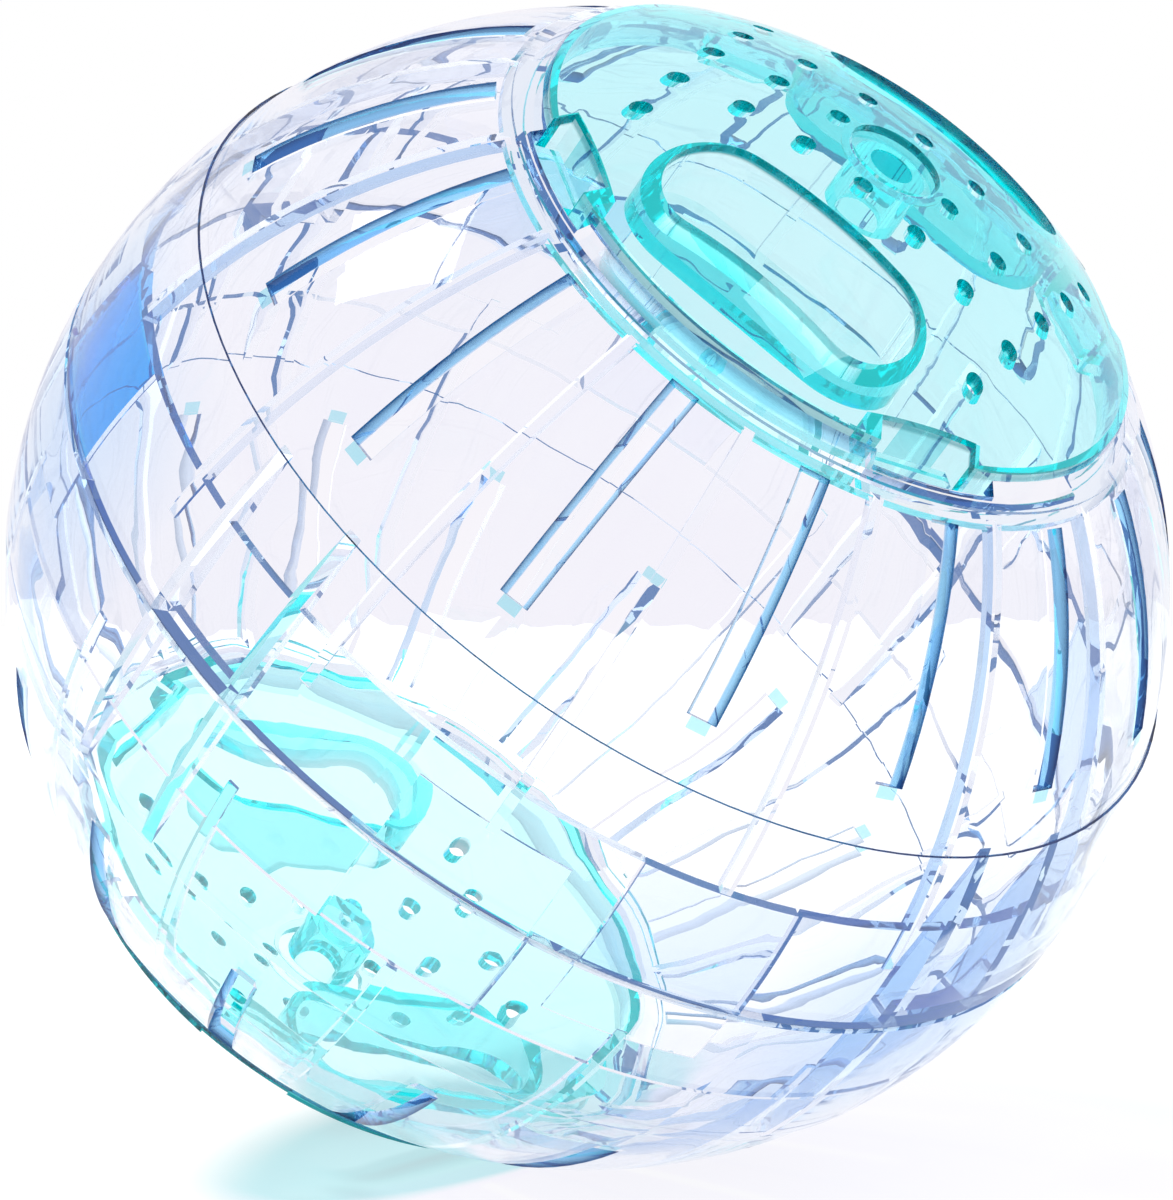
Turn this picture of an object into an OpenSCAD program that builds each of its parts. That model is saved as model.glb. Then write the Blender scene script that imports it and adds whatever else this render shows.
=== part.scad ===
// Exercise ball for a small pet: two half shells that clip together at the seam, each with a round
// mouth that a lid closes with a short turn.
// The origin is the centre of the ball, and +Z runs through the middle of the upper lid.
// Lengths are in millimetres and angles in degrees. A half and its lid are drawn as the upper ones,
// and the lower ones are the same mouldings turned over.

/* [Ball] */
// Outer diameter of the closed ball
ball_d = 140; // [132:1:156]
// Thickness of the shell's wall
wall_t = 1.8; // [1.5:0.1:2.2]
// Height of the raised belt above the seam
belt_h = 24.5; // [21:0.5:27]
// Height of the belt and the collar above the surface between them
belt_step = 0.3; // [0.2:0.1:0.5]
// Bevel along the outer edge of the seam
seam_bevel = 0.4; // [0.2:0.1:0.6]

/* [Vent slots and ribs] */
// Number of vent slots, and of ribs between them, round each half
slot_count = 16; // [12:4:16]
// Width of a vent slot at the outside of the wall
slot_w = 3.8; // [3:0.1:4.6]
// Width of a vent slot at the inside of the wall
slot_inner_w = 2.2; // [1.6:0.1:2.6]
// Length of a vent slot along the wall
slot_l = 30.3; // [22:0.1:33]
// Distance from the collar to the vent slots
slot_gap = 2.1; // [1:0.1:4]
// Width of a rib
rib_w = 1.4; // [1:0.1:2]
// Height of a rib above the inside of the wall
rib_h = 1.6; // [1:0.1:2.4]
// Distance from the seam to the lower ends of the ribs
rib_end = 8.5; // [4:0.5:12]

/* [Lap joint] */
// Height of the inner lap band above the seam
lap_h = 14.3; // [12:0.1:17]
// Thickness of the lap band
lap_t = 1.2; // [0.8:0.1:1.8]
// Angle that a pocket in the lap band spans
pocket_a = 17.5; // [14:0.5:20]
// Thickness of a tongue
tongue_t = 1.2; // [0.9:0.1:1.8]
// Height above the seam at which a tongue's root starts
tongue_root = 9; // [6:0.5:11]
// Clearance round a tongue in its pocket
lap_gap = 0.3; // [0.2:0.05:0.4]

/* [Gussets] */
// Thickness of a gusset
gusset_t = 1.8; // [1.2:0.1:2.4]
// Depth of a gusset at the seam
gusset_d = 4; // [3:0.1:6]
// Height of a gusset above the seam
gusset_h = 24.4; // [18:0.1:28]
// Distance between the two gussets of a pair
gusset_pitch = 13.9; // [10:0.1:16]
// Depth of the lip that joins a pair at the seam
lip_d = 2.6; // [2:0.1:3]
// Thickness of the lip
lip_t = 1.6; // [1:0.1:2.4]

/* [Collar] */
// Diameter of the mouth
mouth_d = 78.4; // [74:0.2:82]
// Width of the collar round the mouth
collar_w = 2.8; // [2.6:0.1:3.4]
// Angle that a lug's entry notch spans
notch_a = 23.5; // [22:0.5:26]
// Angle from the axis of symmetry to the nearest notch
notch_at = 42.5; // [42:0.1:43]
// Angle that a lug can turn under the collar past its notch
ledge_a = 21; // [18:1:24]
// Extra depth of the groove behind its notch
groove_relief = 0.15; // [0.1:0.05:0.25]
// Angle that the groove starts before its notch
groove_lead_a = 1; // [0.5:0.5:2]
// Thickness of the sill that the lugs stand on
sill_t = 1.3; // [1:0.1:2]

/* [Lid] */
// Height of the lid's dome above the ball's surface
lid_rise = 0.7; // [0.4:0.1:1.2]
// Thickness of the dome
lid_t = 1.6; // [1.2:0.1:2]
// Clearance between the lid's rim and the mouth
lid_gap = 0.35; // [0.3:0.05:0.5]
// Thickness of the skirt under the rim
skirt_t = 1.5; // [1.2:0.1:2]
// Distance that the skirt reaches below the lugs
skirt_drop = 0.5; // [0.3:0.1:1]
// Angle that the lid has turned from its middle place in the notches
lid_turn = -3; // [-3:0.1:3]

/* [Lugs and windows] */
// Angle from the line through both finger recesses to the nearest lug
lug_at = 43; // [42.5:0.1:43.5]
// Width of a lug
lug_w = 10.6; // [8:0.1:11]
// Thickness of a lug
lug_t = 1.5; // [1.2:0.1:2]
// Distance that a lug reaches past the mouth's wall
lug_reach = 1.2; // [0.9:0.1:1.3]
// Depth of a lug's top face below the edge of the mouth
lug_drop = 2.3; // [2:0.1:3]
// Clearance between a lug and the groove that it turns in
lug_gap = 0.35; // [0.2:0.05:0.4]
// Width of the window in the rim above a lug
window_w = 12.7; // [12:0.1:14]
// Depth of the window in from the rim
window_d = 3; // [2:0.1:4]
// Thickness of the walls round the window
window_t = 1.2; // [1:0.1:1.6]

/* [Finger recesses] */
// Length of a finger recess
recess_l = 34.3; // [30:0.1:36]
// Width of a finger recess
recess_w = 13.6; // [12:0.1:15]
// Distance between the middles of the two recesses
recess_pitch = 46.2; // [44:0.1:47]
// Depth of the recess floor below the top of the ball
recess_depth = 11.1; // [9:0.1:12]
// Thickness of a recess's walls and floor
recess_t = 1.4; // [1:0.1:1.8]

/* [Air holes] */
// Diameter of an air hole
hole_d = 2.5; // [1.5:0.1:3]
// Distance between the rows of air holes
hole_row_pitch = 9.3; // [8.5:0.1:10]
// Distance between the holes of a row
hole_pitch = 8.15; // [7.9:0.05:8.8]
// Number of holes in a row
row_count = 7; // [5:2:7]
// Distance from the middle row to the single holes past the recesses
corner_pitch = 17.5; // [16:0.1:19]

/* [Socket] */
// Diameter of the socket's bore
socket_d = 5.6; // [4:0.1:6]
// Length of the bore
socket_l = 7.5; // [5:0.1:9]
// Thickness of the socket's wall
socket_t = 1.8; // [1.2:0.1:2.4]
// Diameter of the round recess that the bore opens in
dish_d = 11.8; // [11:0.1:12]
// Depth of that recess below the dome
dish_depth = 1.25; // [0.8:0.05:1.6]
// Thickness of the recess's rim and floor
dish_t = 0.8; // [0.6:0.1:1]

/* [Hidden] */
$fn = 128;

// Distance that a cut runs past what it cuts
overrun = 1;
// Depth that a rib or band sinks into the wall which carries it
joint_depth = wall_t / 3;

// Radii of the shell's spherical surfaces
ball_r = ball_d / 2;
crown_r = ball_r - belt_step;
inner_r = ball_r - wall_t;

// Angle between neighbouring slots, and the number of pockets, tongues and gusset pairs in each half
slot_pitch_a = 360 / slot_count;
quarters = 4;
// Places of the pockets, tongues and gusset pairs round the seam, counted from the slot on +X
pocket_at = 1.5 * slot_pitch_a;
tongue_at = 0.5 * slot_pitch_a;
gusset_at = 3 * slot_pitch_a;
// Direction of the level line that the ball turns over about
turnover_at = slot_pitch_a;

// Radii of the mouth, the collar, the lugs, their entry notches and the grooves that they turn in
mouth_r = mouth_d / 2;
collar_r = mouth_r + collar_w;
lug_r = mouth_r + lug_reach;
notch_r = lug_r + lug_gap;
groove_r = notch_r + groove_relief;
// Heights of the lug's top face, the sill below it, the collar's lower face, the skirt's lower edge
// and the groove's roof
lug_top_z = height_at(ball_r, mouth_r) - lug_drop;
sill_z = lug_top_z - lug_t;
collar_z = sill_z - sill_t;
skirt_z = sill_z - skirt_drop;
groove_top_z = lug_top_z + lug_gap;

// Polar angles of the slots' ends and of the ribs' ends
slot_from_a = asin(collar_r / ball_r) + arc_a(slot_gap);
slot_to_a = slot_from_a + arc_a(slot_l);
rib_from_a = asin(mouth_r / inner_r);
rib_to_a = 90 - arc_a(rib_end);

// Radii of the lid's dome and rim
lid_r = ball_r + lid_rise;
rim_r = mouth_r - lid_gap;
// Directions of the four lugs on a lid, and of the four notches in a collar
lug_dirs = [lug_at, 180 - lug_at, 180 + lug_at, -lug_at];
notch_dirs = [notch_at, 180 - notch_at, 180 + notch_at, -notch_at];
// Heights of the recess floor and of the socket's open end
recess_z = ball_r - recess_depth;
socket_z = lid_r - dish_depth;

// Height at which a sphere about the centre passes over the radius r
function height_at(sphere_r, r) = sqrt(sphere_r * sphere_r - r * r);

// Angle at the centre that a length along the ball's surface spans
function arc_a(length) = length / ball_r * 180 / PI;

// Half the width of a vent slot at a distance from the centre
function slot_half_w(r) =
    (slot_inner_w + (slot_w - slot_inner_w) * (r - inner_r) / (crown_r - inner_r)) / 2;

// Hollow sphere between two radii
module hollow_sphere(low_r, high_r) {
    difference() {
        sphere(r = high_r);
        sphere(r = low_r);
    }
}

// Round layer between two heights, wider than the ball
module layer(low_z, high_z) {
    translate([0, 0, low_z])
        cylinder(h = high_z - low_z, r = ball_r + overrun);
}

// Ring between two radii and two heights
module ring(low_r, high_r, low_z, high_z) {
    translate([0, 0, low_z])
        difference() {
            cylinder(h = high_z - low_z, r = high_r);
            translate([0, 0, -overrun])
                cylinder(h = high_z - low_z + 2 * overrun, r = low_r);
        }
}

// Wedge that opens from the axis toward +X between two heights
module sector(angle, low_z, high_z) {
    reach = ball_r + overrun;
    half_w = reach * tan(angle / 2);
    translate([0, 0, low_z])
        linear_extrude(height = high_z - low_z)
            polygon([[0, 0], [reach, -half_w], [reach, half_w]]);
}

// Part of a ring that starts at +X and runs anticlockwise through an angle
module curved_block(low_r, high_r, low_z, high_z, angle) {
    rotate_extrude(angle = angle)
        translate([low_r, low_z])
            square([high_r - low_r, high_z - low_z]);
}

// Upright slice that opens from the centre toward +X between two polar angles
module meridian_slice(width, from_a, to_a) {
    reach = 2 * ball_r;
    translate([0, width / 2, 0])
        rotate([90, 0, 0])
            linear_extrude(height = width)
                polygon([
                    [0, 0],
                    [reach * sin(from_a), reach * cos(from_a)],
                    [reach * sin(to_a), reach * cos(to_a)]
                ]);
}

// Block with round ends that lies along Y
module obround(length, width, height) {
    end_at = (length - width) / 2;
    for (side = [-1, 1])
        translate([0, side * end_at, 0])
            cylinder(h = height, d = width);
    translate([-width / 2, -end_at, 0])
        cube([width, 2 * end_at, height]);
}

// Spherical wall of a half: the crown, and the belt that stands a step above it
module wall() {
    difference() {
        union() {
            sphere(r = crown_r);
            intersection() {
                sphere(r = ball_r);
                layer(-overrun, belt_h);
            }
        }
        sphere(r = inner_r);
        cylinder(h = ball_r + overrun, r = mouth_r + collar_w / 2);
        rotate_extrude()
            polygon([
                [ball_r - seam_bevel - overrun, -overrun],
                [ball_r + overrun, -overrun],
                [ball_r + overrun, seam_bevel + overrun]
            ]);
    }
}

// Ribs up the inside of the wall to the collar, left out where the other half's tongues stand
module ribs() {
    difference() {
        intersection() {
            hollow_sphere(inner_r - rib_h, inner_r + joint_depth);
            union() {
                for (i = [0 : slot_count - 1])
                    rotate((i + 0.5) * slot_pitch_a)
                        meridian_slice(rib_w, rib_from_a, rib_to_a);
            }
        }
        pockets(lap_h);
        cylinder(h = ball_r, r = mouth_r + joint_depth);
    }
}

// Spaces over the pockets in the lap band that take the other half's tongues
module pockets(high_z) {
    for (i = [0 : quarters - 1])
        rotate(pocket_at + i * 360 / quarters)
            sector(pocket_a, -2 * overrun, high_z);
}

// Inner band that stiffens the seam, broken by the pockets
module lap_band() {
    difference() {
        intersection() {
            hollow_sphere(inner_r - lap_t, inner_r + joint_depth);
            layer(-overrun, lap_h);
        }
        pockets(lap_h + overrun);
    }
}

// Tongues that run past the seam inside the other half's pockets
module tongues() {
    high_r = inner_r - lap_gap;
    for (i = [0 : quarters - 1])
        rotate(tongue_at + i * 360 / quarters)
            intersection() {
                hollow_sphere(high_r - tongue_t, high_r);
                sector(pocket_a - 2 * arc_a(lap_gap), lap_gap - lap_h, tongue_root);
            }
}

// Pairs of upright gussets with a lip between them at the seam
module gussets() {
    half_a = asin(gusset_pitch / 2 / inner_r);
    intersection() {
        sphere(r = inner_r + joint_depth);
        for (i = [0 : quarters - 1])
            rotate(gusset_at + i * 360 / quarters) {
                for (side = [-1, 1])
                    rotate(side * half_a)
                        gusset();
                intersection() {
                    sector(2 * half_a, -overrun, lip_t);
                    ring(inner_r - lip_d, ball_r, -2 * overrun, lip_t + overrun);
                }
            }
    }
}

// One gusset, deepest at the seam and running out into the wall at its top
module gusset() {
    translate([0, gusset_t / 2, 0])
        rotate([90, 0, 0])
            linear_extrude(height = gusset_t)
                polygon([
                    [inner_r - gusset_d, -overrun],
                    [ball_r, -overrun],
                    [ball_r, gusset_h],
                    [height_at(inner_r, gusset_h), gusset_h]
                ]);
}

// Thick ring round the mouth
module collar() {
    intersection() {
        ring(mouth_r, collar_r, collar_z, ball_r);
        sphere(r = ball_r);
    }
}

// Vent slots through the wall, with sides that lean apart toward its outside
module vent_slots() {
    low_r = inner_r - overrun;
    high_r = ball_r + overrun;
    for (i = [0 : slot_count - 1])
        rotate(i * slot_pitch_a)
            rotate([90, 0, 0])
                rotate(90 - slot_to_a)
                    rotate_extrude(angle = slot_to_a - slot_from_a)
                        polygon([
                            [low_r, -slot_half_w(low_r)],
                            [high_r, -slot_half_w(high_r)],
                            [high_r, slot_half_w(high_r)],
                            [low_r, slot_half_w(low_r)]
                        ]);
}

// Entry notches in the collar, each with a groove that leads on under the collar's top
module lug_ways() {
    for (dir = notch_dirs) {
        rotate(dir - notch_a / 2)
            curved_block(mouth_r - overrun, notch_r, sill_z + lug_t / 2, ball_r, notch_a);
        rotate(dir - notch_a / 2 - groove_lead_a)
            curved_block(
                mouth_r - 2 * overrun, groove_r, sill_z, groove_top_z,
                groove_lead_a + notch_a + ledge_a
            );
    }
}

// Half shell
module shell_half() {
    difference() {
        intersection() {
            layer(0, ball_r);
            union() {
                wall();
                ribs();
                lap_band();
                gussets();
                collar();
            }
        }
        vent_slots();
        lug_ways();
    }
    tongues();
}

// Frame of walls round a window in the rim
module window_frame() {
    translate([rim_r - window_d - window_t, -window_w / 2 - window_t, skirt_z - overrun])
        cube([window_d + window_t + overrun, window_w + 2 * window_t, lid_r - skirt_z + overrun]);
}

// Opening of a window
module window_cut() {
    translate([rim_r - window_d, -window_w / 2, skirt_z - overrun])
        cube([window_d + 2 * overrun, window_w, lid_r - skirt_z + 2 * overrun]);
}

// Lug that reaches out from the inner wall of its window
module lug() {
    root_r = rim_r - window_d - window_t / 2;
    intersection() {
        translate([root_r, -lug_w / 2, sill_z])
            cube([lug_r - root_r, lug_w, lug_t]);
        cylinder(h = lid_r, r = lug_r);
    }
}

// Everything on the lid that ends at the dome's surface or at the rim
module lid_solid() {
    top_z = lid_r + overrun;
    intersection() {
        sphere(r = lid_r);
        translate([0, 0, skirt_z])
            cylinder(h = top_z - skirt_z, r = rim_r);
        union() {
            difference() {
                cylinder(h = top_z, r = rim_r + overrun);
                sphere(r = lid_r - lid_t);
            }
            ring(rim_r - skirt_t, rim_r + overrun, skirt_z - overrun, top_z);
            for (dir = lug_dirs)
                rotate(dir)
                    window_frame();
            for (side = [-1, 1])
                translate([side * recess_pitch / 2, 0, recess_z - recess_t])
                    obround(recess_l + 2 * recess_t, recess_w + 2 * recess_t, ball_r);
            translate([0, 0, socket_z - dish_t])
                cylinder(h = ball_r, d = dish_d + 2 * dish_t);
            translate([0, 0, socket_z - socket_l])
                cylinder(h = socket_l, d = socket_d + 2 * socket_t);
        }
    }
}

// Air holes in three rows, with a single hole past each end of each finger recess
module air_holes() {
    row_half = (row_count - 1) / 2;
    for (row = [-1 : 1])
        for (i = [-row_half : row_half])
            if (row != 0 || i != 0)
                translate([row * hole_row_pitch, i * hole_pitch, 0])
                    cylinder(h = lid_r + overrun, d = hole_d);
    for (side = [-1, 1])
        for (end = [-1, 1])
            translate([side * corner_pitch, end * row_half * hole_pitch, 0])
                cylinder(h = lid_r + overrun, d = hole_d);
}

// Lid
module lid() {
    difference() {
        lid_solid();
        for (dir = lug_dirs)
            rotate(dir)
                window_cut();
        for (side = [-1, 1])
            translate([side * recess_pitch / 2, 0, recess_z])
                obround(recess_l, recess_w, ball_r);
        air_holes();
        translate([0, 0, socket_z])
            cylinder(h = lid_r, d = dish_d);
        cylinder(h = lid_r + overrun, d = socket_d);
    }
    for (dir = lug_dirs)
        rotate(dir)
            lug();
}

// Turns a piece of the upper half over into the lower half
module turned_over() {
    rotate(a = 180, v = [cos(turnover_at), sin(turnover_at), 0])
        children();
}

module shell_bottom() {
    color("lavender")
        turned_over()
            shell_half();
}

module shell_top() {
    color("lavender")
        shell_half();
}

module lid_bottom() {
    color("turquoise")
        turned_over()
            rotate(lid_turn)
                lid();
}

module lid_top() {
    color("turquoise")
        rotate(lid_turn)
            lid();
}

shell_bottom();
shell_top();
lid_bottom();
lid_top();
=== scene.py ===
"""Hamster ball of clear blue plastic with two aqua twist lids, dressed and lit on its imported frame.

Lengths are in metres in the part's own frame: the origin is the middle of the ball and +Z is the lids'
axis. Names that end in mm hold millimetres, and names that end in deg hold degrees. The ball rests tilted,
so the floor and the lamps stand to a world that is tilted the other way.
"""

import logging
import math
from collections.abc import Mapping
from dataclasses import dataclass, field
from enum import Enum
from functools import cached_property
from typing import ClassVar

import bpy
from mathutils import Matrix, Vector


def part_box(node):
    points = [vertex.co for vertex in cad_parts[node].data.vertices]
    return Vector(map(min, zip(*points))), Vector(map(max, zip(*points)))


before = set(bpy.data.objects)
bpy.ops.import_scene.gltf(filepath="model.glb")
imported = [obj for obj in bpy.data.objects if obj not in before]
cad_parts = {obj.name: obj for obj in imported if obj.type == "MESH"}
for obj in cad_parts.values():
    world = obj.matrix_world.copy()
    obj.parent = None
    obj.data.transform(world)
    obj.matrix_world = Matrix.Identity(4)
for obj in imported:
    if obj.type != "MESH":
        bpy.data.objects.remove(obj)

log = logging.getLogger("hamster_ball")

Tree = bpy.types.NodeTree
Socket = bpy.types.NodeSocket

MM = 0.001


class Half(Enum):
    """The two ends of the ball."""

    UPPER = "top"
    LOWER = "bottom"


# The ball's radius, the distance from its middle that the inner side of a shell's wall stays within, and
# the one that its outer side lies past.
BALL_MM = 70.0
INNER_SIDE_MM = 68.4
OUTER_SIDE_MM = 69.0

# Distance of a finger recess's middle from the axis, and the direction of one recess of each lid.
RECESS_MM = 23.1
RECESS_AT_DEG = {Half.UPPER: -3.0, Half.LOWER: 48.0}
# Distance from the axis at which a lid's skirt starts.
SKIRT_MM = 36.0

# Number of slots round a half, and the angle from the axis to their lower ends. A bright tip of painted
# light, standing in for the slot's slanted end seen through the wall, shows past each end: half its width
# as a turn about the axis, and its length as an angle from the middle.
SLOTS = 16
SLOT_END_DEG = 63.4
TIP_HALF_DEG = 1.15
TIP_LONG_DEG = 1.2

# Number of pockets round a half, the direction of the first in each half, half the turn that one spans,
# and the height that they reach from the seam.
POCKETS = 4
POCKET_AT_DEG = {Half.UPPER: 33.75, Half.LOWER: 11.25}
POCKET_HALF_DEG = 8.75
POCKET_TALL_MM = 14.0
# How blue the tongues of each half are away from the blue patches by the seam, as a share.
TONGUE_SHARE = {Half.UPPER: 0.22, Half.LOWER: 0.04}

# Directions of the two blue patches by the seam, and the cosines of the angles from them at which a patch
# starts and is full.
BLUE_PATCH_AT_DEG = (-56.0, 65.0)
BLUE_PATCH_EDGE_COS = 0.912
BLUE_PATCH_CORE_COS = 0.985
# Distances from the seam at which the blue round a patch is full and is gone, and its share of the tongues'
# colour.
BLUE_FADE_FULL_MM = 8.0
BLUE_FADE_GONE_MM = 24.0
BLUE_FADE_SHARE = 0.26
# Share of the tongues' and patches' blue that shows where light passes square, and the slant, from 0 to 1,
# at which all of it does.
SQUARE_SHARE = 0.25
FULL_SLANT = 0.35

# Cosines of the angle between a face's normal and the direction out of the ball. From the first on a face
# starts to count as one across the wall, and from the second on it counts in full.
ALONG_COS = 0.8
ACROSS_COS = 0.45
# Distance over which the colour of such faces, partly painted light, fades in on the way out.
CUT_FADE_MM = 0.3
# Distance from the seam within which no face counts as cut, and the one within which the seam has its
# painted dark line.
SEAM_CLEAR_MM = 1.0
SEAM_LINE_MM = 0.2

# Number of surfaces that light has passed where the painted cut colour and dark lines start to fade and
# fade in full, and what is left of a line.
FADE_FROM = 1.5
FADE_FULL = 3.5
FADE_LEAVES = 0.3
# Number of surfaces after which light counts as caught in the wall, and the painted glow comes on.
CAUGHT_AFTER = 9.0

# How far a streak's pattern moves on for each millimetre of height.
STREAK_CLIMB = 0.15
# Values of the rubbed patches' pattern at which the rubbing starts and is full.
RUB_FROM = 0.62
RUB_FULL = 0.8


def linear(code: str) -> tuple[float, float, float]:
    """Turns an sRGB colour to the linear one that shaders take.

    Args:
        code: the colour as six hex digits after a hash sign.

    Returns:
        Red, green and blue, each from 0 to 1.
    """
    parts = [int(code[i : i + 2], 16) / 255 for i in (1, 3, 5)]
    red, green, blue = (c / 12.92 if c <= 0.04045 else ((c + 0.055) / 1.055) ** 2.4 for c in parts)
    return red, green, blue


def add_node(
    tree: Tree,
    kind: str,
    settings: Mapping[str | int, object] | None = None,
    links: Mapping[str | int, Socket] | None = None,
) -> bpy.types.Node:
    """Adds one node with its settings and its links.

    Args:
        tree: the node tree that takes the node.
        kind: Blender's name for the kind of node.
        settings: values by the name or number of an input, or by the name of one of the node's options.
        links: output sockets by the name or number of the input that each feeds.

    Returns:
        The new node.
    """
    node = tree.nodes.new(kind)
    for key, value in (settings or {}).items():
        if isinstance(key, str) and key not in node.inputs:
            setattr(node, key, value)
        elif node.inputs[key].type == "RGBA":
            node.inputs[key].default_value = (*value, 1.0)
        else:
            node.inputs[key].default_value = value
    for key, source in (links or {}).items():
        tree.links.new(source, node.inputs[key])
    return node


def add_sum(tree: Tree, kind: str, operation: str, terms: tuple[object, ...]) -> bpy.types.Node:
    """Adds a node that works something out from its inputs.

    Args:
        tree: the node tree that takes the node.
        kind: Blender's name for the kind of node.
        operation: Blender's name for what it works out.
        terms: its inputs in order, each a socket or a fixed value.

    Returns:
        The new node.
    """
    fixed = {index: term for index, term in enumerate(terms) if not isinstance(term, Socket)}
    linked = {index: term for index, term in enumerate(terms) if isinstance(term, Socket)}
    return add_node(tree, kind, {"operation": operation, **fixed}, linked)


def number(tree: Tree, operation: str, *terms: Socket | float) -> Socket:
    """Works out a number from numbers."""
    return add_sum(tree, "ShaderNodeMath", operation, terms).outputs[0]


def vector(tree: Tree, operation: str, *terms: Socket | tuple[float, float, float]) -> Socket:
    """Works out a vector from vectors."""
    return add_sum(tree, "ShaderNodeVectorMath", operation, terms).outputs["Vector"]


def measure(tree: Tree, operation: str, *terms: Socket | tuple[float, float, float]) -> Socket:
    """Works out a number from vectors."""
    return add_sum(tree, "ShaderNodeVectorMath", operation, terms).outputs["Value"]


def product(tree: Tree, *factors: Socket) -> Socket:
    """Multiplies numbers with each other.

    Args:
        tree: the node tree that takes the nodes.
        factors: the numbers.

    Returns:
        The product's socket.
    """
    result = factors[0]
    for factor in factors[1:]:
        result = number(tree, "MULTIPLY", result, factor)
    return result


def slope(
    tree: Tree,
    value: Socket,
    start: float,
    end: float,
    low: Socket | float = 0.0,
    high: float = 1.0,
) -> Socket:
    """Runs evenly from one number to another while a value runs through a stretch, and is level past it.

    Args:
        tree: the node tree that takes the node.
        value: what is read.
        start: the value at which the result is low.
        end: the value at which it is high.
        low: the first result.
        high: the last result.

    Returns:
        The result's socket.
    """
    settings = {"From Min": start, "From Max": end, "To Max": high}
    links = {"Value": value}
    if isinstance(low, Socket):
        links["To Min"] = low
    else:
        settings["To Min"] = low
    return add_node(tree, "ShaderNodeMapRange", settings, links).outputs[0]


def blend(tree: Tree, share: Socket, under: Socket, over: str) -> Socket:
    """Lays a share of one colour over another.

    Args:
        tree: the node tree that takes the node.
        share: how much of the upper colour shows, from 0 to 1.
        under: the colour below.
        over: the colour above, as six hex digits after a hash sign.

    Returns:
        The mixed colour's socket.
    """
    node = add_node(tree, "ShaderNodeMix", {"data_type": "RGBA", 7: linear(over)}, {0: share, 6: under})
    return node.outputs[2]


def noise(tree: Tree, where: Socket, width_mm: float, detail: float, roughness: float) -> Socket:
    """Adds one noise pattern.

    Args:
        tree: the node tree that takes the node.
        where: the place that it reads, in millimetres.
        width_mm: width of its broadest waves.
        detail: how many finer waves lie on those.
        roughness: how strong the finer waves are.

    Returns:
        A socket from 0 to 1.
    """
    settings = {"Scale": 1 / width_mm, "Detail": detail, "Roughness": roughness}
    return add_node(tree, "ShaderNodeTexNoise", settings, {"Vector": where}).outputs["Fac"]


@dataclass(frozen=True)
class Place:
    """Where a point of a moulding's surface lies. Each answer adds its nodes when it is first read.

    Attributes:
        tree: the material's node tree.
    """

    tree: Tree

    @cached_property
    def point(self) -> bpy.types.Node:
        """The node that gives the point and its normal."""
        return add_node(self.tree, "ShaderNodeTexCoord")

    @cached_property
    def normal(self) -> Socket:
        """The normal of its face."""
        return self.point.outputs["Normal"]

    @cached_property
    def spot(self) -> Socket:
        """The point itself, in millimetres."""
        scale = {"operation": "SCALE", "Scale": 1 / MM}
        metres = {0: self.point.outputs["Object"]}
        return add_node(self.tree, "ShaderNodeVectorMath", scale, metres).outputs[0]

    @cached_property
    def far(self) -> Socket:
        """Its distance from the middle of the ball, in millimetres."""
        return measure(self.tree, "LENGTH", self.spot)

    @cached_property
    def level(self) -> Socket:
        """The point brought straight up or down to the seam."""
        return vector(self.tree, "MULTIPLY", self.spot, (1.0, 1.0, 0.0))

    @cached_property
    def way(self) -> Socket:
        """The level direction from the lids' axis to it."""
        return vector(self.tree, "NORMALIZE", self.level)

    @cached_property
    def beside(self) -> Socket:
        """Its distance from the lids' axis, in millimetres."""
        return measure(self.tree, "LENGTH", self.level)

    @cached_property
    def apart(self) -> bpy.types.Node:
        """The node that takes it apart into three coordinates."""
        return add_node(self.tree, "ShaderNodeSeparateXYZ", links={0: self.spot})

    @cached_property
    def turn(self) -> Socket:
        """The level direction to it as an angle from +X."""
        return number(self.tree, "ARCTAN2", self.apart.outputs["Y"], self.apart.outputs["X"])

    @cached_property
    def height(self) -> Socket:
        """Its height over the seam in millimetres, below zero in the lower half."""
        return self.apart.outputs["Z"]

    @cached_property
    def off_seam(self) -> Socket:
        """Its distance from the seam, in millimetres."""
        return number(self.tree, "ABSOLUTE", self.height)

    @cached_property
    def clear_of_seam(self) -> Socket:
        """Tells with a 1 that it is too far from the seam to be a face that the other half meets."""
        return number(self.tree, "GREATER_THAN", self.off_seam, SEAM_CLEAR_MM)

    @cached_property
    def across(self) -> Socket:
        """Runs from 0 on a face along the wall to 1 on one that stands across it."""
        out = vector(self.tree, "NORMALIZE", self.spot)
        facing = number(self.tree, "ABSOLUTE", measure(self.tree, "DOT_PRODUCT", self.normal, out))
        return slope(self.tree, facing, ALONG_COS, ACROSS_COS)


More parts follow.
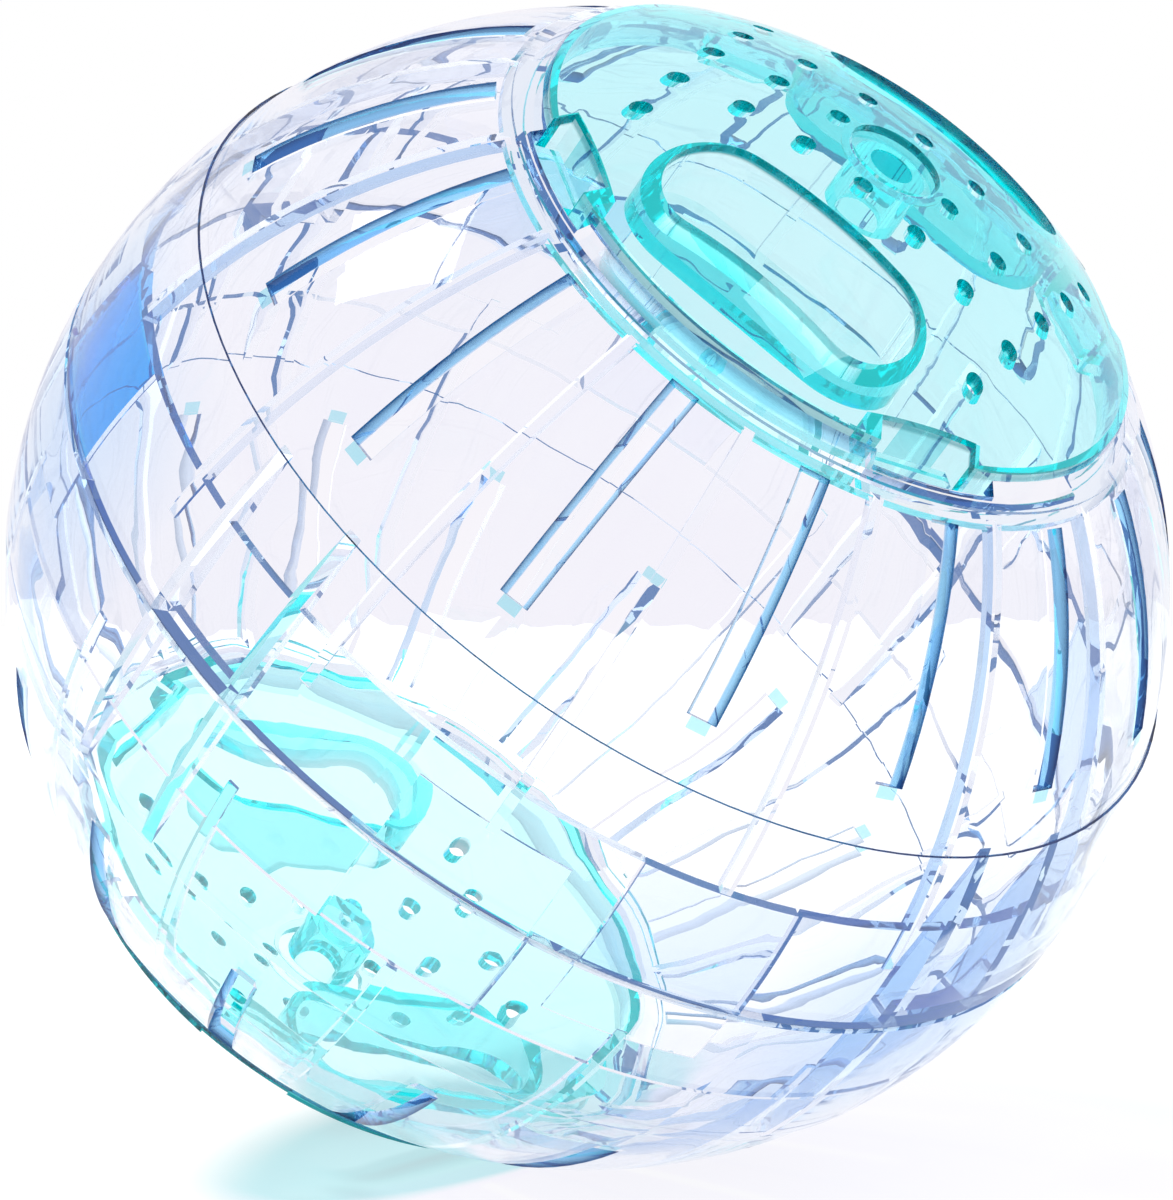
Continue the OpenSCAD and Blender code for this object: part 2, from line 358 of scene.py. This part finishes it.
@dataclass(frozen=True, kw_only=True)
class ClearPlastic:
    """Clear polystyrene from a polished mould, with a tint that deepens with the path of light through it.

    Attributes:
        name: the name of the material.
        film: what one surface does to the light that passes it, as a colour.
        film_flow: the same where the melt cooled in streaks.
        cut: what a face across the wall does to the light, as at a slot's side, partly as painted light.
        painted_edge_shade: painted shade, a dark line where an opening's edge meets the outer surface.
        line_from_mm: distance from the middle of the ball from which that painted dark line starts.
        line_to_mm: distance from which it is at its darkest.
        depth: what is left of white light after depth_mm of plastic.
        depth_mm: the length of path for that colour.
        shade: what lamp light keeps on its way through, for the shadow.
        glow: colour of a painted glow, an emission on rims where light has passed many surfaces.
        painted_glow_strength: how strong that painted glow is at one surface.
        ior: index of refraction, under the plastic's own 1.59, so that the many thin walls behind each
            other lose as little light to gloss as they do in the photograph.
        gloss: roughness of the polished surface.
        scuff: roughness where the surface is rubbed.
        scuff_mm: width of the rubbed patches.
        wave_mm: width of the slow waves that shrinking leaves on a thin wall.
        wave_height_mm: height of those waves.
        flow_mm: width of the streaks that run from the middle of the moulding to its rim.
    """

    name: str
    film: str
    film_flow: str
    cut: str
    painted_edge_shade: str
    line_from_mm: float
    line_to_mm: float
    depth: str
    depth_mm: float
    shade: str
    glow: str
    painted_glow_strength: float
    ior: float = 1.42
    gloss: float = 0.0
    scuff: float = 0.06
    scuff_mm: float = 9.0
    wave_mm: float = 16.0
    wave_height_mm: float = 0.12
    flow_mm: float = 5.0

    def absorption(self) -> tuple[tuple[float, float, float], float]:
        """Works out the absorption that leaves the depth colour after its path.

        Returns:
            The colour and the density of a Volume Absorption node, per metre.
        """
        faintest = 1e-4
        taken = [-math.log(max(c, faintest)) / (self.depth_mm * MM) for c in linear(self.depth)]
        density = max(taken)
        red, green, blue = (1.0 - t / density for t in taken)
        return (red, green, blue), density

    def streaks(self, place: Place) -> Socket:
        """Draws the film's colour with the streaks of the melt.

        Args:
            place: where the point lies.

        Returns:
            The colour's socket.
        """
        # A streak stays the same nearly all along a meridian, so its pattern reads the direction from the
        # axis and only slowly the height.
        tree = place.tree
        slow = vector(tree, "MULTIPLY", place.spot, (0.0, 0.0, STREAK_CLIMB))
        drawn = vector(tree, "MULTIPLY_ADD", place.way, (BALL_MM, BALL_MM, BALL_MM), slow)
        flow = noise(tree, drawn, self.flow_mm, detail=2.0, roughness=0.5)
        colours = {"data_type": "RGBA", 6: linear(self.film), 7: linear(self.film_flow)}
        return add_node(tree, "ShaderNodeMix", colours, {0: flow}).outputs[2]

    def film_colour(self, place: Place) -> Socket:
        """Gives the colour of a surface before the cut faces and lines."""
        return self.streaks(place)

    def cut_share(self, place: Place) -> Socket:
        """Tells how much of the cut colour a face has."""
        return place.across

    def edge_shade_share(self, place: Place) -> Socket:
        """Tells how much of the painted dark edge line a face has.

        Args:
            place: where the point lies.

        Returns:
            A socket from 0 to 1.
        """
        # Painted shade: the last stretch of a cut face below the outer surface gets the thin dark line
        # round an opening.
        near = slope(place.tree, place.far, self.line_from_mm, self.line_to_mm)
        return product(place.tree, place.across, near)

    def colour(self, place: Place, passed: Socket) -> Socket:
        """Lays the film, the cut faces' partly painted colour and the painted dark lines over each other.

        Args:
            place: where the point lies.
            passed: how many surfaces the light has passed.

        Returns:
            The colour's socket.
        """
        # Seen through other walls, the painted cut colour and dark lines fade with each surface that light
        # has passed.
        tree = place.tree
        fade_behind = slope(tree, passed, FADE_FROM, FADE_FULL, 1.0, FADE_LEAVES)
        cut = blend(tree, product(tree, self.cut_share(place), fade_behind), self.film_colour(place), self.cut)
        return blend(tree, product(tree, self.edge_shade_share(place), fade_behind), cut, self.painted_edge_shade)

    def roughness(self, place: Place) -> Socket:
        """Draws the rubbed patches as a roughness."""
        rub = noise(place.tree, place.spot, self.scuff_mm, detail=3.0, roughness=0.65)
        return slope(place.tree, rub, RUB_FROM, RUB_FULL, self.gloss, self.scuff)

    def waves(self, place: Place) -> Socket:
        """Draws the slow waves as a normal.

        Args:
            place: where the point lies.

        Returns:
            The normal's socket.
        """
        wave = noise(place.tree, place.spot, self.wave_mm, detail=1.5, roughness=0.4)
        size = {"Strength": 1.0, "Distance": self.wave_height_mm * MM}
        return add_node(place.tree, "ShaderNodeBump", size, {"Height": wave}).outputs[0]

    def material(self) -> bpy.types.Material:
        """Builds the material.

        Returns:
            The material, with its surface and the absorption inside it.
        """
        made = bpy.data.materials.new(self.name)
        made.use_nodes = True
        tree = made.node_tree
        tree.nodes.clear()
        place = Place(tree)
        rays = add_node(tree, "ShaderNodeLightPath").outputs
        # Painted glow: where light is caught in a rim, each surface that it reaches adds a faint emission,
        # so the rim stays blue or aqua where it would otherwise go black.
        caught = number(tree, "GREATER_THAN", rays["Ray Depth"], CAUGHT_AFTER)
        body = add_node(
            tree,
            "ShaderNodeBsdfPrincipled",
            {"IOR": self.ior, "Transmission Weight": 1.0, "Emission Color": linear(self.glow)},
            {
                "Base Color": self.colour(place, rays["Ray Depth"]),
                "Roughness": self.roughness(place),
                "Normal": self.waves(place),
                "Emission Strength": number(tree, "MULTIPLY", caught, self.painted_glow_strength),
            },
        )
        # Lamp light goes straight through, so the floor gets a tinted shadow and not a black one.
        passing = add_node(tree, "ShaderNodeBsdfTransparent", {"Color": linear(self.shade)})
        surface = add_node(
            tree,
            "ShaderNodeMixShader",
            links={0: rays["Is Shadow Ray"], 1: body.outputs[0], 2: passing.outputs[0]},
        )
        colour, density = self.absorption()
        inside = add_node(tree, "ShaderNodeVolumeAbsorption", {"Color": colour, "Density": density})
        ends = {"Surface": surface.outputs[0], "Volume": inside.outputs[0]}
        add_node(tree, "ShaderNodeOutputMaterial", links=ends)
        return made


@dataclass(frozen=True, kw_only=True)
class ShellPlastic(ClearPlastic):
    """The shells' plastic, with two blue patches by the seam.

    Attributes:
        cut_from_mm: distance from the middle of the ball from which cut faces have their full colour.
        cut_inside: share of that colour on ribs and bands further in.
        blue_patch_extra: what is added to that share on the blue patches by the seam.
        tongue: what each face of a tongue in its pocket does to the light, at its bluest.
        painted_tip_light: painted light where a slot's slanted lower end shows through the wall.
    """

    cut_from_mm: float
    cut_inside: float
    blue_patch_extra: float
    tongue: str
    painted_tip_light: str

    def film_colour(self, place: Place) -> Socket:
        """Lays the blue of the tongues and patches, and the slot tips' painted light, over the film's
        streaks.

        Args:
            place: where the point lies.

        Returns:
            The colour's socket.
        """
        blue = blend(place.tree, self.blue_share(place), self.streaks(place), self.tongue)
        return blend(place.tree, self.painted_slot_tips(place), blue, self.painted_tip_light)

    def cut_share(self, place: Place) -> Socket:
        """Tells how much of the cut colour a face has.

        Args:
            place: where the point lies.

        Returns:
            A socket from 0 to 1.
        """
        # The halves meet at the seam without a gap, so it shows as a thin painted dark line and not
        # as a broad face.
        tree = place.tree
        inside = number(tree, "MULTIPLY_ADD", self.blue_patches(place), self.blue_patch_extra, self.cut_inside)
        outward = slope(tree, place.far, self.cut_from_mm - CUT_FADE_MM, self.cut_from_mm, inside)
        return product(tree, place.across, outward, place.clear_of_seam)

    def edge_shade_share(self, place: Place) -> Socket:
        """Tells how much of the painted dark edge line a face has.

        Args:
            place: where the point lies.

        Returns:
            A socket from 0 to 1.
        """
        tree = place.tree
        on_seam = number(tree, "LESS_THAN", place.off_seam, SEAM_LINE_MM)
        where = number(tree, "MAXIMUM", place.clear_of_seam, on_seam)
        return product(tree, super().edge_shade_share(place), where)

    def blue_patches(self, place: Place) -> Socket:
        """Finds the two blue stretches round the seam.

        Args:
            place: where the point lies.

        Returns:
            A socket from 0 between the patches to 1 in the middle of each.
        """
        leans = []
        for at in BLUE_PATCH_AT_DEG:
            towards = (math.cos(math.radians(at)), math.sin(math.radians(at)), 0.0)
            leans.append(measure(place.tree, "DOT_PRODUCT", place.way, towards))
        return slope(place.tree, number(place.tree, "MAXIMUM", *leans), BLUE_PATCH_EDGE_COS, BLUE_PATCH_CORE_COS)

    def painted_slot_tips(self, place: Place) -> Socket:
        """Finds the wall just past each slot's lower end, where painted light stands for its slanted end.

        Args:
            place: where the point lies.

        Returns:
            A socket that is 1 on such places and 0 elsewhere.
        """
        tree = place.tree
        wave = number(tree, "COSINE", number(tree, "MULTIPLY", place.turn, SLOTS))
        in_line = number(tree, "GREATER_THAN", wave, math.cos(math.radians(SLOTS * TIP_HALF_DEG)))
        outside = number(tree, "GREATER_THAN", place.far, OUTER_SIDE_MM)
        rise = number(tree, "ABSOLUTE", number(tree, "DIVIDE", place.height, place.far))
        below = number(tree, "LESS_THAN", rise, math.cos(math.radians(SLOT_END_DEG)))
        above = number(tree, "GREATER_THAN", rise, math.cos(math.radians(SLOT_END_DEG + TIP_LONG_DEG)))
        return product(tree, below, above, in_line, outside)

    def tongues(self, place: Place) -> Socket:
        """Finds the tongues and the walls behind them, and how blue each of them is.

        Args:
            place: where the point lies.

        Returns:
            A socket from 0 off the tongues to 1 on the bluest of them.
        """
        # What differs between the halves is a middle value and a lean from it that changes sign with them.
        tree = place.tree
        half = number(tree, "SIGN", place.height)
        ahead_deg = (POCKET_AT_DEG[Half.UPPER] + POCKET_AT_DEG[Half.LOWER]) / 2
        lean_deg = (POCKET_AT_DEG[Half.UPPER] - POCKET_AT_DEG[Half.LOWER]) / 2
        lean, ahead = math.radians(POCKETS * lean_deg), math.radians(POCKETS * ahead_deg)
        shift = number(tree, "MULTIPLY_ADD", half, -lean, -ahead)
        wave = number(tree, "COSINE", number(tree, "MULTIPLY_ADD", place.turn, POCKETS, shift))
        within = number(tree, "GREATER_THAN", wave, math.cos(math.radians(POCKETS * POCKET_HALF_DEG)))
        low = number(tree, "LESS_THAN", place.off_seam, POCKET_TALL_MM)
        inside = number(tree, "LESS_THAN", place.far, INNER_SIDE_MM)
        middle = (TONGUE_SHARE[Half.UPPER] + TONGUE_SHARE[Half.LOWER]) / 2
        more = (TONGUE_SHARE[Half.UPPER] - TONGUE_SHARE[Half.LOWER]) / 2
        least = number(tree, "MULTIPLY_ADD", half, more, middle)
        how_blue = number(tree, "MAXIMUM", self.blue_patches(place), least)
        return product(tree, how_blue, within, low, inside)

    def blue_share(self, place: Place) -> Socket:
        """Tells how blue the tongues and the patches by the seam make a surface.

        Args:
            place: where the point lies.

        Returns:
            A socket from 0 to 1.
        """
        # Round the tongues the blue of the patches fades into the wall.
        tree = place.tree
        fading = slope(tree, place.off_seam, BLUE_FADE_GONE_MM, BLUE_FADE_FULL_MM, 0.0, BLUE_FADE_SHARE)
        blue_fade = product(tree, self.blue_patches(place), fading)
        both = number(tree, "MAXIMUM", self.tongues(place), blue_fade)
        # Light that passes square through dyed plastic takes the shortest path and keeps most of its white.
        slant = add_node(tree, "ShaderNodeLayerWeight", {"Blend": 0.5}).outputs["Facing"]
        return product(tree, both, slope(tree, slant, 0.0, FULL_SLANT, SQUARE_SHARE))


@dataclass(frozen=True, kw_only=True)
class LidPlastic(ClearPlastic):
    """The lids' plastic, deepest in colour outside the finger recesses' walls, partly as painted light."""

    def cut_share(self, place: Place) -> Socket:
        """Finds a recess's walls where light enters them and they look away from the recess's middle.

        Args:
            place: where the point lies.

        Returns:
            A socket from 0 to 1.
        """
        # The deep colour on these walls is partly painted light: it is laid only where light enters them.
        tree = place.tree
        middles = {}
        for half, at in RECESS_AT_DEG.items():
            angle = math.radians(at)
            middles[half] = (RECESS_MM * math.cos(angle), RECESS_MM * math.sin(angle), 0.0)
        ends = {"data_type": "VECTOR", 4: middles[Half.LOWER], 5: middles[Half.UPPER]}
        upper = number(tree, "GREATER_THAN", place.height, 0.0)
        middle = add_node(tree, "ShaderNodeMix", ends, {0: upper}).outputs[1]
        # A lid's other recess lies opposite, so the nearest middle is this one or its mirror image.
        side = number(tree, "SIGN", measure(tree, "DOT_PRODUCT", place.spot, middle))
        nearest = add_node(
            tree, "ShaderNodeVectorMath", {"operation": "SCALE"}, {0: middle, "Scale": side}
        )
        reach = vector(tree, "SUBTRACT", place.spot, nearest.outputs[0])
        away = number(tree, "GREATER_THAN", measure(tree, "DOT_PRODUCT", place.normal, reach), 0.0)
        leaving = add_node(tree, "ShaderNodeNewGeometry").outputs["Backfacing"]
        entered = number(tree, "SUBTRACT", 1.0, leaving)
        inward = number(tree, "LESS_THAN", place.beside, SKIRT_MM)
        return product(tree, place.across, away, entered, inward)


# Crystal polystyrene, injection moulded, polished, with a trace of blue dye. Flat on it is almost colourless
# with a breath of lavender. Looked at along the wall, at slots and rims, it is strong blue to navy. Of that,
# the cut colour is partly painted light and the navy edge lines are painted shade; the slot tips are
# painted light and the rims' glow is a painted emission.
CLEAR_BLUE = ShellPlastic(
    name="clear_blue_polystyrene_polished",
    film="#FEFEFF",
    film_flow="#FCFBFE",
    cut="#5FAFEA",
    cut_from_mm=68.4,
    cut_inside=0.10,
    blue_patch_extra=0.7,
    painted_edge_shade="#04285A",
    line_from_mm=68.7,
    line_to_mm=69.5,
    tongue="#1AB6FC",
    painted_tip_light="#8ADCEC",
    depth="#40A1ED",
    depth_mm=320.0,
    shade="#FDFCFF",
    glow="#86ADEC",
    painted_glow_strength=0.08,
)

# The same polystyrene dyed aqua: pale cyan through one wall, and teal where walls stand behind each other or
# on edge. The deep teal on the recesses' walls is partly painted light, the dark teal edge lines are
# painted shade, and the rims' glow is a painted emission.
CLEAR_AQUA = LidPlastic(
    name="aqua_polystyrene_polished",
    film="#FDFFFF",
    film_flow="#FAFFFF",
    cut="#3ACED6",
    painted_edge_shade="#17737C",
    line_from_mm=69.3,
    line_to_mm=69.65,
    depth="#3EF6F7",
    depth_mm=13.0,
    shade="#BDF1F3",
    glow="#D2F8F9",
    painted_glow_strength=0.10,
    wave_mm=13.0,
    flow_mm=6.0,
)


@dataclass
class Moulding:
    """One moulded piece of the ball.

    Attributes:
        kind: the first word of its solid's name.
        half: the end of the ball that it belongs to.
        plastic: the material that it is moulded in.
    """

    kind: ClassVar[str]
    half: Half
    plastic: bpy.types.Material

    @property
    def node(self) -> str:
        """Name of the solid."""
        return f"{self.kind}_{self.half.value}"

    def build(self) -> None:
        """Gives the solid its plastic."""
        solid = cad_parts[self.node]
        solid.data.materials.clear()
        solid.data.materials.append(self.plastic)
        for face in solid.data.polygons:
            face.material_index = 0
        low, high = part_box(self.node)
        log.info("%s: %s, %.1f x %.1f x %.1f mm", self.node, self.plastic.name, *((high - low) / MM))


@dataclass
class Shell(Moulding):
    """One half of the ball: crown, belt, slots, ribs, lap band, tongues and collar in one moulding."""

    kind = "shell"


@dataclass
class Lid(Moulding):
    """One twist lid: dome, skirt, finger recesses, air holes, socket, windows and lugs in one moulding."""

    kind = "lid"


@dataclass(frozen=True)
class Lamp:
    """One soft square lamp that looks at the ball.

    Attributes:
        name: the lamp's name.
        up: how much of its direction from the ball is up.
        away: how much of it is away from the camera.
        side: how much of it is to the camera's right.
        distance: from the middle of the ball.
        size: side of its face.
        power: in watts.
        shows: whether gloss shows it; such a lamp throws no shadow.
    """

    name: str
    up: float
    away: float
    side: float
    distance: float
    size: float
    power: float
    shows: bool


# The first throws the shadow from behind the ball, and the gloss of the two soft ones shows over it.
LAMPS = (
    Lamp("behind", up=1.0, away=0.55, side=-0.55, distance=1.15, size=0.25, power=12.0, shows=False),
    Lamp("over_left", up=0.86, away=-0.05, side=-0.45, distance=1.1, size=0.38, power=2.4, shows=True),
    Lamp("over_right", up=0.76, away=-0.25, side=0.58, distance=1.1, size=0.34, power=1.8, shows=True),
)

# Colours of the surroundings that gloss and glass show, by the sine of the angle over the floor.
WALL_COLOURS = ((0.20, "#FBF8FC"), (0.95, "#F1F1F9"))


@dataclass
class Studio:
    """The floor, the surroundings, the lamps and the camera.

    Attributes:
        up: straight up for the ball as it rests.
        eye: the place of the camera.
        eye_up: up in its picture.
        eye_back: the way from what it looks at to it.
        lens_mm: its focal length.
        sensor_mm: the width of its sensor.
        floor_gap_mm: the gap between the ball and the floor.
        floor_back: how far the floor reaches behind the ball.
        floor_front: how far it reaches in front of it.
        floor_side: how far it reaches to each side.
        floor_pale: how much of the light that falls on it the floor gives back.
        floor_glow: what is added to that, for the even white of a lit sweep.
        soft: strength of the light from all round.
        bounces: number of surfaces that light is followed through.
    """

    up: Vector = field(default_factory=lambda: Vector((-0.2163, -0.5983, 0.7716)).normalized())
    eye: Vector = field(default_factory=lambda: Vector((0.59200, 0.05492, 0.36364)))
    eye_up: Vector = field(default_factory=lambda: Vector((-0.3693877, -0.62107282, 0.69124618)))
    eye_back: Vector = field(default_factory=lambda: Vector((0.84860709, 0.0776964, 0.523287)))
    lens_mm: float = 173.86
    sensor_mm: float = 36.0
    floor_gap_mm: float = 0.05
    floor_back: float = 0.36
    floor_front: float = 0.45
    floor_side: float = 0.60
    floor_pale: float = 0.72
    floor_glow: float = 0.30
    soft: float = 0.3
    bounces: int = 15

    def away(self) -> Vector:
        """Level direction from the camera to the ball."""
        ahead = -self.eye_back
        return (ahead - self.up * ahead.dot(self.up)).normalized()

    def side(self) -> Vector:
        """Level direction to the camera's right."""
        return self.away().cross(self.up).normalized()

    def camera(self) -> None:
        """Places the camera at the photograph's angle and distance."""
        lens = bpy.data.cameras.new("camera")
        lens.lens = self.lens_mm
        lens.sensor_width = self.sensor_mm
        lens.clip_start = 10 * MM
        made = bpy.data.objects.new("camera", lens)
        bpy.context.scene.collection.objects.link(made)
        turn = Matrix((self.eye_up.cross(self.eye_back), self.eye_up, self.eye_back)).transposed()
        made.matrix_world = Matrix.Translation(self.eye) @ turn.to_4x4()
        bpy.context.scene.camera = made

    def surroundings(self) -> None:
        """Gives the white backdrop, the pale wall that gloss and glass show, and light from all round."""
        world = bpy.data.worlds.new("studio")
        bpy.context.scene.world = world
        world.use_nodes = True
        world.cycles.sampling_method = "NONE"
        tree = world.node_tree
        tree.nodes.clear()
        rays = add_node(tree, "ShaderNodeLightPath").outputs
        way = add_node(tree, "ShaderNodeTexCoord").outputs["Generated"]
        height = measure(tree, "DOT_PRODUCT", way, tuple(self.up))
        wall = add_node(tree, "ShaderNodeValToRGB", links={0: height})
        for stop, (position, colour) in zip(wall.color_ramp.elements, WALL_COLOURS):
            stop.position = position
            stop.color = (*linear(colour), 1.0)
        seen = blend(tree, rays["Is Camera Ray"], wall.outputs[0], "#FFFFFF")
        shown = number(tree, "MAXIMUM", rays["Is Camera Ray"], rays["Is Glossy Ray"])
        shown = number(tree, "MAXIMUM", shown, rays["Is Transmission Ray"])
        soft = add_node(
            tree, "ShaderNodeBackground", {"Color": linear("#FFFFFF"), "Strength": self.soft}
        )
        plain = add_node(tree, "ShaderNodeBackground", {"Strength": 1.0}, {"Color": seen})
        both = add_node(
            tree,
            "ShaderNodeMixShader",
            links={0: shown, 1: soft.outputs[0], 2: plain.outputs[0]},
        )
        add_node(tree, "ShaderNodeOutputWorld", links={"Surface": both.outputs[0]})

    def paper(self) -> bpy.types.Material:
        """Makes the floor's white paper, which shows from above only.

        Returns:
            The material.
        """
        made = bpy.data.materials.new("white_paper_sweep")
        made.use_nodes = True
        tree = made.node_tree
        tree.nodes.clear()
        pale = (self.floor_pale, self.floor_pale, self.floor_pale)
        lit = add_node(tree, "ShaderNodeBsdfDiffuse", {"Color": pale})
        # The glow shows to the camera, in gloss and through glass, but it lights no matt surface.
        diffuse = add_node(tree, "ShaderNodeLightPath").outputs["Is Diffuse Ray"]
        strength = number(tree, "MULTIPLY", number(tree, "SUBTRACT", 1.0, diffuse), self.floor_glow)
        glow = add_node(tree, "ShaderNodeEmission", {"Color": (1.0, 1.0, 1.0)}, {"Strength": strength})
        top = add_node(tree, "ShaderNodeAddShader", links={0: lit.outputs[0], 1: glow.outputs[0]})
        nothing = add_node(tree, "ShaderNodeBsdfTransparent")
        below = add_node(tree, "ShaderNodeNewGeometry").outputs["Backfacing"]
        sheet = add_node(
            tree,
            "ShaderNodeMixShader",
            links={0: below, 1: top.outputs[0], 2: nothing.outputs[0]},
        )
        add_node(tree, "ShaderNodeOutputMaterial", links={"Surface": sheet.outputs[0]})
        return made

    def floor(self) -> None:
        """Lays the pale floor that the ball rests on."""
        side = self.side() * self.floor_side
        touch = -self.up * (BALL_MM + self.floor_gap_mm) * MM
        back = touch + self.away() * self.floor_back
        front = touch - self.away() * self.floor_front
        corners = (back - side, back + side, front + side, front - side)
        sheet = bpy.data.meshes.new("floor")
        sheet.from_pydata([tuple(corner) for corner in corners], [], [(0, 1, 2, 3)])
        sheet.update()
        if sheet.polygons[0].normal.dot(self.up) < 0:
            sheet.flip_normals()
        made = bpy.data.objects.new("floor", sheet)
        bpy.context.scene.collection.objects.link(made)
        sheet.materials.append(self.paper())

    def hang(self, lamp: Lamp) -> None:
        """Hangs one lamp.

        Args:
            lamp: its place, size and power.
        """
        light = bpy.data.lights.new(lamp.name, "AREA")
        light.shape = "SQUARE"
        light.size = lamp.size
        light.energy = lamp.power
        light.use_shadow = not lamp.shows
        made = bpy.data.objects.new(lamp.name, light)
        made.visible_glossy = lamp.shows
        made.visible_transmission = False
        bpy.context.scene.collection.objects.link(made)
        way = (self.up * lamp.up + self.away() * lamp.away + self.side() * lamp.side).normalized()
        made.location = way * lamp.distance
        made.rotation_mode = "QUATERNION"
        made.rotation_quaternion = (-way).to_track_quat("-Z", "Y")

    def build(self) -> None:
        """Makes the whole studio."""
        self.camera()
        self.surroundings()
        self.floor()
        for lamp in LAMPS:
            self.hang(lamp)
        scene = bpy.context.scene
        scene.view_settings.view_transform = "Standard"
        scene.cycles.max_bounces = self.bounces
        scene.cycles.transmission_bounces = self.bounces
        scene.cycles.glossy_bounces = self.bounces
        scene.cycles.transparent_max_bounces = self.bounces
        # Lamp light reaches the floor through the plastics' shadow mix, so caustics would count it twice.
        scene.cycles.caustics_reflective = False
        scene.cycles.caustics_refractive = False
        log.info("studio: camera %.0f mm from the ball, %d lamps", self.eye.length / MM, len(LAMPS))


def main() -> None:
    """Builds the ball piece by piece, then the studio round it."""
    logging.basicConfig(level=logging.INFO, format="%(name)s: %(message)s")
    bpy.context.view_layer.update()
    blue = CLEAR_BLUE.material()
    aqua = CLEAR_AQUA.material()
    for half in (Half.LOWER, Half.UPPER):
        Shell(half, blue).build()
    for half in (Half.LOWER, Half.UPPER):
        Lid(half, aqua).build()
    Studio().build()


if __name__ == "__main__":
    main()
